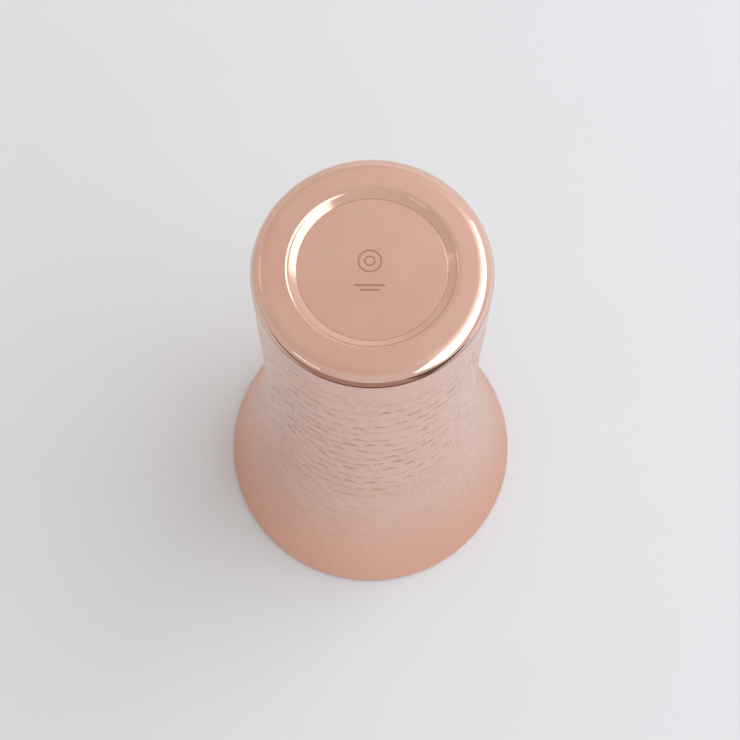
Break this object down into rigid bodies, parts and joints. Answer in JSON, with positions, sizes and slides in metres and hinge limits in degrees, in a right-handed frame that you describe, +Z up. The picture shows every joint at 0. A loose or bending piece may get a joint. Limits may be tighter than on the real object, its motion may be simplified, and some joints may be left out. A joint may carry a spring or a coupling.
{
  "type": "flared tumbler",
  "caption": "Flared hammered copper tumbler with a double wall, a rolled lip and a round base with a sunken centre, standing mouth-down.",
  "frame": {"origin": "middle of the mouth, on the surface that the lip rests on", "axes": "+Z up along the cup's axis, from the mouth to the base, with the cup standing mouth-down; X and Y are free because the cup is round"},
  "size_m": [0.072, 0.072, 0.126],
  "materials": {
    "hammered_copper": "satin blasted copper with rows of shallow hammer marks",
    "tin_lining": "satin tin plating, lightly turned",
    "base_copper": "satin copper with a polished rounded edge"
  },
  "bodies": {
    "root": {"outer_shell": "hammered_copper", "inner_cup": "tin_lining", "base_cap": "base_copper"}
  },
  "joints": []
}
